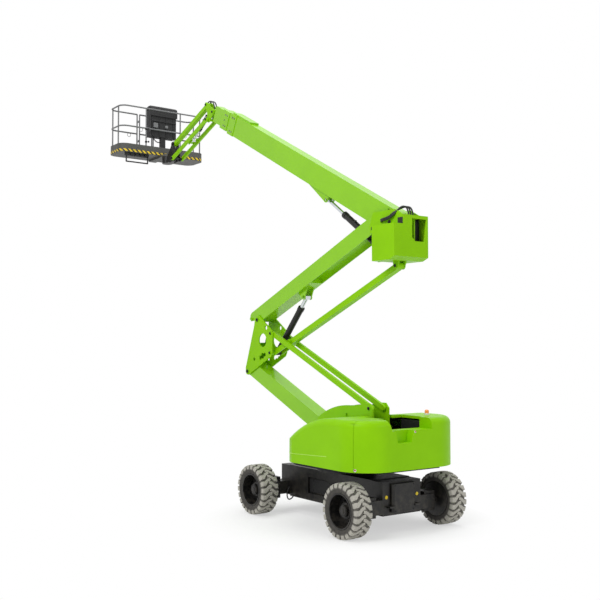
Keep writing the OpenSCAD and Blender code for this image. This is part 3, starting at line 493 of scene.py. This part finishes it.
def pin_ends(name, body, pins, y):
    """Both ends of each pin: its place, radius, and its own half width where that isn't y."""
    piece = Piece()
    for p, r, y_end in pins:
        half = y_end or y
        for s in (1, -1):
            piece.turned((p[0], s * half, p[1]), (0, s, 0),
                         [(r * 0.98, -0.003), (r * 0.98, 0.004), (r * 0.82, PIN_CAP)], 28)
            piece.bolt((p[0], s * (half + PIN_CAP), p[1]), (0, s, 0), r * 0.42)
    piece.make(name, DARK_STEEL, body, "black_paint")


pin_ends("turret_pin_ends", "turret", [(L0, MAIN_PIN, None), (T0, TIE_PIN, None)], TURRET_HALF)
pin_ends("elbow_pin_ends", "elbow",
         [(E1, MAIN_PIN, None), (E2, MAIN_PIN, None), (U1, TIE_PIN, None), (T1, TIE_PIN, None)], PLATE_HALF)
pin_ends("knuckle_pin_ends", "knuckle",
         [(K1, MAIN_PIN, None), (M1, MAIN_PIN, None), (B0, TIE_PIN, None), (U2, TIE_PIN, TIE_FORK_HALF)],
         PLATE_HALF)
pin_ends("head_pin_ends", "boom_head",
         [(H1, TIE_PIN, None), (J1, TIE_PIN, ARM_HALF), (J2, TIE_PIN, None)], EYE_HALF)
pin_ends("cage_pin_ends", "cage_mount", [(J3, TIE_PIN, ARM_HALF), (J4, TIE_PIN, None)], EYE_HALF)

# Main boom: collar bolts, wear pads at the mouths
OUTER_SIDE, MID_SIDE, OUTER_UNDER = 0.142, 0.124, -0.2295
UNDER = (math.sin(math.radians(BOOM)), 0, -math.cos(math.radians(BOOM)))
collar = Piece()
for s in (1, -1):
    for a in (5.93, 6.01):
        for n in (-0.15, 0.15):
            collar.bolt(xz(M1, s * OUTER_SIDE, a, BOOM, n), (0, s, 0), 0.016)
for a in (5.92, 6.03):
    for y in (-0.07, 0.07):
        collar.bolt(xz(M1, y, a, BOOM, OUTER_UNDER), UNDER, 0.014)
collar.make("outer_collar_bolts", ZINC, "boom_outer", "chromed_rod")
collar = Piece()
for s in (1, -1):
    for a, n in ((6.28, -0.12), (6.36, -0.12), (6.36, 0.0), (6.28, 0.12), (6.36, 0.12)):
        collar.bolt(xz(M1, s * MID_SIDE, a, BOOM, n), (0, s, 0), 0.015)
collar.make("mid_collar_bolts", ZINC, "boom_mid", "chromed_rod")
# Half width and half height inside the pads, and how far along the boom the mouth is
PAD_GAP, PAD_OUT = 0.0005, 0.009
for w, h, name, body, a in ((0.112, 0.1995, "outer_mouth_pads", "boom_outer", 6.098),
                            (0.094, 0.1815, "mid_mouth_pads", "boom_mid", 6.498)):
    piece = Piece()
    for y0, y1, n0, n1 in ((-w, w, h + PAD_GAP, h + PAD_OUT), (-w, w, -h - PAD_OUT, -h - PAD_GAP),
                           (w + PAD_GAP, w + PAD_OUT, -h, h), (-w - PAD_OUT, -w - PAD_GAP, -h, h)):
        rings = []
        for t in (a - 0.05, a + 0.012):
            rings.append([xz(M1, y, t, BOOM, n) for y, n in ((y0, n0), (y1, n0), (y1, n1), (y0, n1))])
        piece.grid(rings)
    piece.make(name, PAD, body, "grey_paint")


# Cylinders: pipes with clips, and glands
PIPE_R, GLAND_BOLTS = 0.009, 8


def cylinder_dress(name, body, base, tip, r, length, side):
    """Pipe with clips along one side of a barrel, and the gland with its bolts at the barrel's end."""
    heading = math.degrees(math.atan2(tip[1] - base[1], tip[0] - base[0]))
    piece = Piece()
    start, stop = 0.14, length - 0.035
    pipe = [(start, -0.006), (start + 0.01, 0.008), (start + 0.06, 0.014), (length * 0.5, 0.014),
            (stop - 0.06, 0.014), (stop - 0.01, 0.008), (stop, -0.006)]
    piece.tube(curve_through([xz(base, side * 0.03, t, heading, side * (r + n)) for t, n in pipe]), PIPE_R)
    clip = [(0.01, r - 0.012), (0.05, r - 0.012), (0.046, r + 0.026), (0.014, r + 0.026)]
    for a in (0.25, 0.5, 0.75):
        piece.grid([[xz(base, side * y, t, heading, side * n) for y, n in clip]
                    for t in (length * a - 0.014, length * a + 0.014)])
    axis = V((math.cos(math.radians(heading)), 0, math.sin(math.radians(heading))))
    piece.turned(xz(base, 0, length, heading), axis,
                 [(r + 0.006, -0.012), (r + 0.006, 0.002), (r * 0.86, 0.006), (r * 0.72, 0.012)], 36)
    circle = r * 0.86
    for k in range(GLAND_BOLTS):
        t = 2 * math.pi * k / GLAND_BOLTS
        spot = xz(base, math.sin(t) * circle, length + 0.004, heading, math.cos(t) * circle)
        piece.bolt(V(spot), axis, 0.008)
    piece.make(name, BLACK, body, "black_paint")


JB, JE = off(J1, 0.03, 0.19), at(J1, 0.9, JIB)
cylinder_dress("riser_cylinder_pipes", "riser_barrel", U1, C1, 0.062, 1.23, -1)
cylinder_dress("boom_cylinder_pipes", "boom_barrel", B0, B1, 0.060, 1.54, 1)
cylinder_dress("jib_cylinder_pipes", "jib_barrel", JB, JE, 0.036, 0.61, 1)

# Cage: bands on the toe board, floor tread, anchor rings, rail clamps
CAGE_HALF, CAGE_R = 1.18, 0.21


def cage_edge(inset):
    """Points round the cage outline, with the distance run."""
    x0, x1, y1, r = CAGE_X0 + inset, CAGE_X1 - inset, CAGE_HALF - inset, CAGE_R - inset
    corners = [(x1 - r, y1 - r, 0), (x0 + r, y1 - r, 90), (x0 + r, -y1 + r, 180), (x1 - r, -y1 + r, 270)]
    pts = []
    for cx, cy, a0 in corners:
        for k in range(9):
            a = math.radians(a0 + 90 * k / 8)
            pts.append((cx + r * math.cos(a), cy + r * math.sin(a)))
    pts.append(pts[0])
    run, total = [], 0.0
    for (ax, ay), (bx, by) in zip(pts, pts[1:]):
        span = math.hypot(bx - ax, by - ay)
        count = max(1, int(span / 0.4))
        for k in range(count):
            run.append((ax + (bx - ax) * k / count, ay + (by - ay) * k / count, total + span * k / count))
        total += span
    run.append((pts[-1][0], pts[-1][1], total))
    return run


edge = cage_edge(-0.0015)
verts, faces, uvs = [], [], []
low, high = FLOOR_Z + 0.012, FLOOR_Z + 0.075
BAND_PITCH, BAND_SLANT = 0.125, 0.55
for x, y, _ in edge:
    verts += [(x, y, low), (x, y, high)]
for i in range(len(edge) - 1):
    faces.append((2 * i, 2 * i + 2, 2 * i + 3, 2 * i + 1))
    d0, d1 = edge[i][2] / BAND_PITCH, edge[i + 1][2] / BAND_PITCH
    uvs += [(d0, 0.0), (d1, 0.0), (d1, BAND_SLANT), (d0, BAND_SLANT)]
mesh = bpy.data.meshes.new("toe_board_bands")
mesh.from_pydata(verts, [], faces)
layer = mesh.uv_layers.new(name="UVMap")
layer.data.foreach_set("uv", [c for uv in uvs for c in uv])
mesh.materials.append(STRIPE)
bands = bpy.data.objects.new("toe_board_bands", mesh)
bpy.context.collection.objects.link(bands)
thick = bands.modifiers.new("thickness", "SOLIDIFY")
thick.thickness = 0.001
thick.offset = 1.0
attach(bands, "cage")

TREAD_ROWS, TREAD_COLUMNS, TREAD_DX, TREAD_DY = 7, 22, 0.093, 0.1
LOZENGE = [(-0.028, 0), (-0.012, -0.007), (0.012, -0.007), (0.028, 0), (0.012, 0.007), (-0.012, 0.007)]
floor_tread = Piece()
for i in range(TREAD_ROWS):
    for k in range(TREAD_COLUMNS):
        x, y = CAGE_X0 + 0.1 + i * TREAD_DX, -1.05 + k * TREAD_DY
        under_console = x < CAGE_X0 + 0.4 and -0.42 < y < 0.36
        if under_console:
            continue
        a = math.radians(45 if (i + k) % 2 else -45)
        c, s = math.cos(a), math.sin(a)
        ring = [(x + c * u - s * w, y + s * u + c * w) for u, w in LOZENGE]
        floor_tread.grid([[(px, py, BASE_Z + dz) for px, py in ring] for dz in (-0.001, 0.004)])
floor_tread.make("floor_tread_plate", DECK, "cage", "grey_paint")

ANCHOR_R, ANCHOR_SIDES, ANCHOR_Z = 0.045, 20, BASE_Z + 0.589
anchors = Piece()
for x, y in ((CAGE_X1 - 0.03, -0.7), (CAGE_X1 - 0.03, 0.62), (CAGE_X0 + 0.03, 0.62), (CAGE_X0 + 0.03, -0.62)):
    turns = (2 * math.pi * k / ANCHOR_SIDES for k in range(ANCHOR_SIDES))
    ring = [(x, y + ANCHOR_R * math.sin(t), ANCHOR_Z + ANCHOR_R * math.cos(t)) for t in turns]
    anchors.tube(ring + [ring[0], ring[1]], 0.006, 8)
anchors.make("anchor_rings", ZINC, "cage", "chromed_rod")
knobs = Piece()
for z in (0.3, 0.62):
    knobs.turned((CAGE_X0 + 0.03, 0.45, BASE_Z + z), (-1, -0.4, 0),
                 [(0.008, 0), (0.008, 0.035), (0.024, 0.04), (0.026, 0.052), (0.018, 0.062)], 16)
    knobs.block((CAGE_X0 + 0.006, 0.458, BASE_Z + z - 0.022), (CAGE_X0 + 0.054, 0.502, BASE_Z + z + 0.022))
knobs.make("rail_clamps", PLASTIC, "cage", "black_plastic", bevel=0.003)

# Console: hood, switches and levers, boxes and ribs at the back, cable
CX = CAGE_X0 + 0.068
# Hood: its section from the cage's floor, and its places across with the section's scale there
HOOD_SECTION = [(-0.035, 1.0), (-0.040, 1.17), (-0.022, 1.232), (0.03, 1.262), (0.12, 1.268), (0.21, 1.248),
                (0.262, 1.212), (0.272, 1.19), (0.25, 1.196), (0.2, 1.226), (0.12, 1.242), (0.035, 1.238),
                (-0.004, 1.212), (-0.016, 1.16), (-0.012, 1.0)]
HOOD_PLACES = [(-0.405, 0.9), (-0.40, 0.965), (-0.385, 1.0), (-0.2, 1.006), (0.0, 1.009), (0.17, 1.006),
               (0.335, 1.0), (0.35, 0.965), (0.355, 0.9)]
HOOD_X, HOOD_FOOT = 0.12, 1.0
SWITCH = [(0.018, -0.004), (0.018, 0.006), (0.012, 0.008), (0.012, 0.02), (0.008, 0.024)]
LEVER = [(0.034, -0.006), (0.034, 0.006), (0.022, 0.022), (0.010, 0.034), (0.009, 0.095), (0.017, 0.105),
         (0.018, 0.125), (0.010, 0.135)]
hood = Piece()
rings = []
for y, k in HOOD_PLACES:
    rings.append([(CX + HOOD_X + (x - HOOD_X) * k, y, BASE_Z + HOOD_FOOT + (z - HOOD_FOOT) * k)
                  for x, z in HOOD_SECTION])
hood.grid(rings)
hood.make("console_hood", PLASTIC, "cage", "black_plastic")
panel = Piece()
for k in range(5):
    y = -0.33 + k * 0.1
    panel.turned((CX + 0.275, y, BASE_Z + 0.98), (1, 0, 0.12), SWITCH, 16)
for y in (-0.25, -0.06):
    panel.turned((CX + 0.262, y, BASE_Z + 1.09), (1, 0, 0.35), LEVER, 18)
panel.make("console_switches", PLASTIC, "cage", "black_plastic")
boxes = Piece()
boxes.block((CX - 0.045, 0.15, BASE_Z + 0.70), (CX + 0.002, 0.27, BASE_Z + 0.82))
boxes.block((CX - 0.03, -0.14, BASE_Z + 0.72), (CX + 0.002, -0.06, BASE_Z + 0.79))
boxes.make("console_back_boxes", GREY, "cage", "grey_paint", bevel=0.006)
ribs = Piece()
for y in (-0.3, -0.1, 0.09, 0.29):
    ribs.block((CX - 0.016, y - 0.012, BASE_Z + 0.5), (CX + 0.002, y + 0.012, BASE_Z + 1.0))
ribs.block((CX - 0.026, -0.37, BASE_Z + 0.86), (CX + 0.002, 0.32, BASE_Z + 0.9))
ribs.make("console_back_ribs", PLASTIC, "cage", "black_plastic", bevel=0.005)
hose("console_cable", [(CX + dx, y, BASE_Z + dz) for dx, y, dz in
                       ((0.1, 0.2, 0.485), (0.09, 0.19, 0.42), (0.07, 0.13, 0.36), (0.05, 0.05, 0.35),
                        (0.04, 0.0, 0.36), (0.03, -0.02, 0.4))], 0.013, "cage")

# Beacon
beacon = Piece()
bx, by, bz = -1.33, -0.74, 1.9347
beacon.turned((bx, by, bz), (0, 0, 1), [(0.047, 0), (0.047, 0.016), (0.042, 0.022), (0.042, 0.031)], 32)
beacon.make("beacon_base", WHITE, "canopy_right", "amber_lens")
dome = Piece()
profile = [(0.038, 0.031)] + [(0.038 if k % 2 else 0.0365, 0.034 + 0.004 * k) for k in range(11)]
profile += [(0.034, 0.082), (0.026, 0.089), (0.012, 0.0935), (0.003, 0.094)]
dome.turned((bx, by, bz), (0, 0, 1), profile, 32)
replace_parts(dome.make("beacon_dome", AMBER, "canopy_right", "amber_lens"), "beacon")

# Covers and turret: swage line in pale green as a painted highlight, markers, louvres, near-black sheets in
# the bay as painted shade, slewing ring's bolts
COVER_W, COVER_X1, FRONT_R = 1.1638, 0.54, 0.56
TAIL_X, TAIL_W, TAIL_R = -1.835, 1.165, 0.6
SWAGE_R, SWAGE_STEPS = 0.007, 16
MARK_DEG, MARK_Z, SUNK = 122, 1.132, 0.001
LOUVRES, LOUVRE_Z, LOUVRE_PITCH = 7, 1.38, 0.042


def marker(base_name, lens_name, place, out, lift, base, lens):
    """Round reflector: a white base and a red lens, each with its radius and the radius of its face."""
    piece = Piece()
    piece.turned(place, out, [(base[0], 0), (base[0], 0.005), (base[1], 0.008)], 20)
    piece.make(base_name, WHITE, "turret", "grey_paint")
    piece = Piece()
    piece.turned(place + V((0, 0, lift)), out, [(lens[0], 0.004), (lens[0], 0.010), (lens[1], 0.012)], 16)
    piece.make(lens_name, RED, "turret", "amber_lens")


for side, s in (("left", 1), ("right", -1)):
    swage = Piece()
    run = [(-0.9 + 0.11 * k, s * (COVER_W - 0.004 * (k == 0)), 1.297 - 0.005 * k) for k in range(9)]
    for k in range(1, SWAGE_STEPS + 1):
        a = math.radians(90 - 90 * k / SWAGE_STEPS)
        y = min(COVER_W, COVER_W + 0.015 - FRONT_R + FRONT_R * math.sin(a))
        run.append((COVER_X1 - FRONT_R + FRONT_R * math.cos(a), s * y, 1.257 - 0.0015 * k))
    run.append((COVER_X1, s * 0.28, 1.23))
    swage.tube(run, SWAGE_R)
    # The swage line takes the pale green as a painted highlight
    swage.make(f"cover_swage_{side}", SWAGE_HIGHLIGHT_GREEN, f"canopy_{side}", "green_paint")
    a = math.radians(MARK_DEG)
    reach = TAIL_R - SUNK
    corner = V((TAIL_X + TAIL_R + reach * math.cos(a), s * (TAIL_W - TAIL_R + reach * math.sin(a)), MARK_Z))
    marker(f"tail_marker_base_{side}", f"tail_marker_{side}", corner, (math.cos(a), s * math.sin(a), 0),
           0.006, (0.024, 0.020), (0.015, 0.010))
marker("notch_marker_base", "notch_marker", V((TAIL_X + SUNK, 0.008, 1.722)), (-1, 0, 0), 0.003,
       (0.019, 0.016), (0.012, 0.008))
louvre = Piece()
for k in range(LOUVRES):
    z = LOUVRE_Z + k * LOUVRE_PITCH
    for x0, x1 in ((-1.2, -0.78), (-0.7, -0.28)):
        louvre.grid([[(x, -COVER_W - dy, z + dz) for dy, dz in
                      ((-0.001, 0), (-0.001, 0.03), (0.006, 0.028), (0.014, 0.004), (0.006, 0))]
                     for x in (x0, x1)])
louvre.make("cover_louvres", PLASTIC, "canopy_right", "black_plastic")
# Near-black sheets over the bay's green inner walls: painted shade inside the bay
shade_sheets = Piece()
for s in (1, -1):
    shade_sheets.block((-1.52, s * 0.424 - 0.003, 1.092), (-1.014, s * 0.424 + 0.003, 1.86))
shade_sheets.make("bay_shade_sheets", PLASTIC, "turret", "black_plastic")
RING_BOLTS, RING_R, RING_Z, RING_SPREAD = 36, 0.515, 0.945, 1.049
ring_bolts = Piece()
for k in range(RING_BOLTS):
    t = 2 * math.pi * k / RING_BOLTS
    c, s = math.cos(t), math.sin(t)
    ring_bolts.bolt((RING_R * c, RING_R * s, RING_Z), (c, s, 0.0), 0.012)
ring_bolts.v = [(x * RING_SPREAD, y * RING_SPREAD, z) for x, y, z in ring_bolts.v]
ring_bolts.make("slewing_ring_bolts", DARK_STEEL, "chassis", "black_paint")

# Chassis: end plates, lashing spots, side access plates
PLATE_FROM_AXLE, PLATE_OUT, PLATE_LOW, PLATE_HIGH = 0.14, 0.075, 0.36, 0.84
TRIM_IN, TRIM_OUT = 0.395, 0.402
for end, sx in (("front", 1), ("rear", -1)):
    x = sx * (AXLE_X + PLATE_FROM_AXLE)
    plate = Piece()
    outline = [(0, -0.262), (0.035, -0.262), (PLATE_OUT, -0.225), (PLATE_OUT, 0.225), (0.035, 0.262),
               (0, 0.262)]
    plate.grid([[(x + sx * dx, y, z) for dx, y in outline] for z in (PLATE_LOW, PLATE_HIGH)])
    plate.make(f"{end}_plate", BLACK, "chassis", "black_paint", bevel=0.008)
    screws, spots = Piece(), Piece()
    for y in (-0.205, 0.205):
        for z in (PLATE_LOW + 0.03, PLATE_HIGH - 0.03):
            screws.bolt((x + sx * PLATE_OUT, y, z), (sx, 0, 0), 0.009)
    screws.make(f"{end}_plate_bolts", DARK_STEEL, "chassis", "black_paint")
    for y in (-0.345, 0.345):
        spots.turned((x, y, 0.62), (sx, 0, 0),
                     [(0.030, 0), (0.030, 0.004), (0.024, 0.007), (0.010, 0.008)], 24)
    spots.make(f"{end}_lashing_spots", YELLOW, "chassis", "amber_lens")
for side, s in (("left", 1), ("right", -1)):
    trim = Piece()
    trim.grid([[(xx, s * yy, zz) for xx, zz in ((-0.6, 0.45), (0.6, 0.45), (0.6, 0.69), (-0.6, 0.69))]
               for yy in (TRIM_IN, TRIM_OUT)])
    for xx in (-0.5, 0.0, 0.5):
        for zz in (0.48, 0.66):
            trim.bolt((xx, s * TRIM_OUT, zz), (0, s, 0), 0.010)
    trim.make(f"side_access_plate_{side}", PLASTIC, "chassis", "black_plastic")

# Stage and light
FLOOR_R, FLOOR_SIDES, FLOOR_DROP = 60, 64, -0.001
SHADE_FROM, SHADE_TO, SHADE_LIFT = 1.8, 2.7, 0.52
WORLD_FILL = 0.42
floor_mesh = bpy.data.meshes.new("floor")
turns = (2 * math.pi * k / FLOOR_SIDES for k in range(FLOOR_SIDES))
ring = [(FLOOR_R * math.cos(t), FLOOR_R * math.sin(t), FLOOR_DROP) for t in turns]
floor_mesh.from_pydata(ring, [], [tuple(range(FLOOR_SIDES))])
floor = bpy.data.objects.new("floor", floor_mesh)
bpy.context.collection.objects.link(floor)
g = Graph("pale_floor")
g.out.inputs["Base Color"].default_value = (0.93, 0.93, 0.93, 1)
g.out.inputs["Roughness"].default_value = 0.9
g.out.inputs["Specular IOR Level"].default_value = 0.0
flat = g.add("ShaderNodeMapping")
flat.inputs["Scale"].default_value = (1, 1, 0)
g.link(g.coord, flat.inputs["Vector"])
reach = g.add("ShaderNodeVectorMath", operation="LENGTH")
g.link(flat.outputs[0], reach.inputs[0])
fade = g.remap(reach.outputs["Value"], SHADE_FROM, SHADE_TO, SHADE_LIFT, 1.0)
white = g.add("ShaderNodeEmission")
white.inputs[0].default_value = (1, 1, 1, 1)
blend = g.add("ShaderNodeMixShader")
path = g.add("ShaderNodeLightPath")
seen = g.math("MAXIMUM", path.outputs["Is Camera Ray"], path.outputs["Is Glossy Ray"])
seen = g.math("MAXIMUM", seen, path.outputs["Is Transmission Ray"])
g.link(g.math("MULTIPLY", fade, seen), blend.inputs[0])
g.link(g.out.outputs[0], blend.inputs[1])
g.link(white.outputs[0], blend.inputs[2])
g.link(blend.outputs[0], g.tree.nodes["Material Output"].inputs["Surface"])
floor_mesh.materials.append(g.mat)

world = bpy.data.worlds.new("studio")
bpy.context.scene.world = world
world.use_nodes = True
tree = world.node_tree
back = tree.nodes["Background"]
back.inputs[0].default_value = (1, 1, 1, 1)
rays = tree.nodes.new("ShaderNodeLightPath")
seen = rays.outputs["Is Camera Ray"]
for ray in ("Is Transmission Ray", "Is Glossy Ray"):
    either = tree.nodes.new("ShaderNodeMath")
    either.operation = "MAXIMUM"
    tree.links.new(seen, either.inputs[0])
    tree.links.new(rays.outputs[ray], either.inputs[1])
    seen = either.outputs[0]
level = tree.nodes.new("ShaderNodeMapRange")
level.inputs[3].default_value = WORLD_FILL
level.inputs[4].default_value = 1.0
tree.links.new(seen, level.inputs[0])
tree.links.new(level.outputs[0], back.inputs[1])


def softbox(name, place, aim, size, power):
    """Square lamp at a place, turned to what it lights."""
    lamp = bpy.data.objects.new(name, bpy.data.lights.new(name, "AREA"))
    bpy.context.collection.objects.link(lamp)
    lamp.data.size = size
    lamp.data.energy = power
    lamp.location = place
    lamp.rotation_euler = (V(aim) - V(place)).to_track_quat("-Z", "Y").to_euler()


softbox("key", (-4.0, 15.0, 15.0), (0.5, 0.0, 3.5), 9.0, 1700)
softbox("top", (2.0, -2.0, 20.0), (1.0, 0.0, 3.0), 12.0, 1500)
softbox("tail", (-17.0, -3.0, 9.0), (0.0, 0.0, 3.0), 8.0, 520)

bpy.context.scene.view_settings.view_transform = "Standard"
bpy.context.view_layer.update()
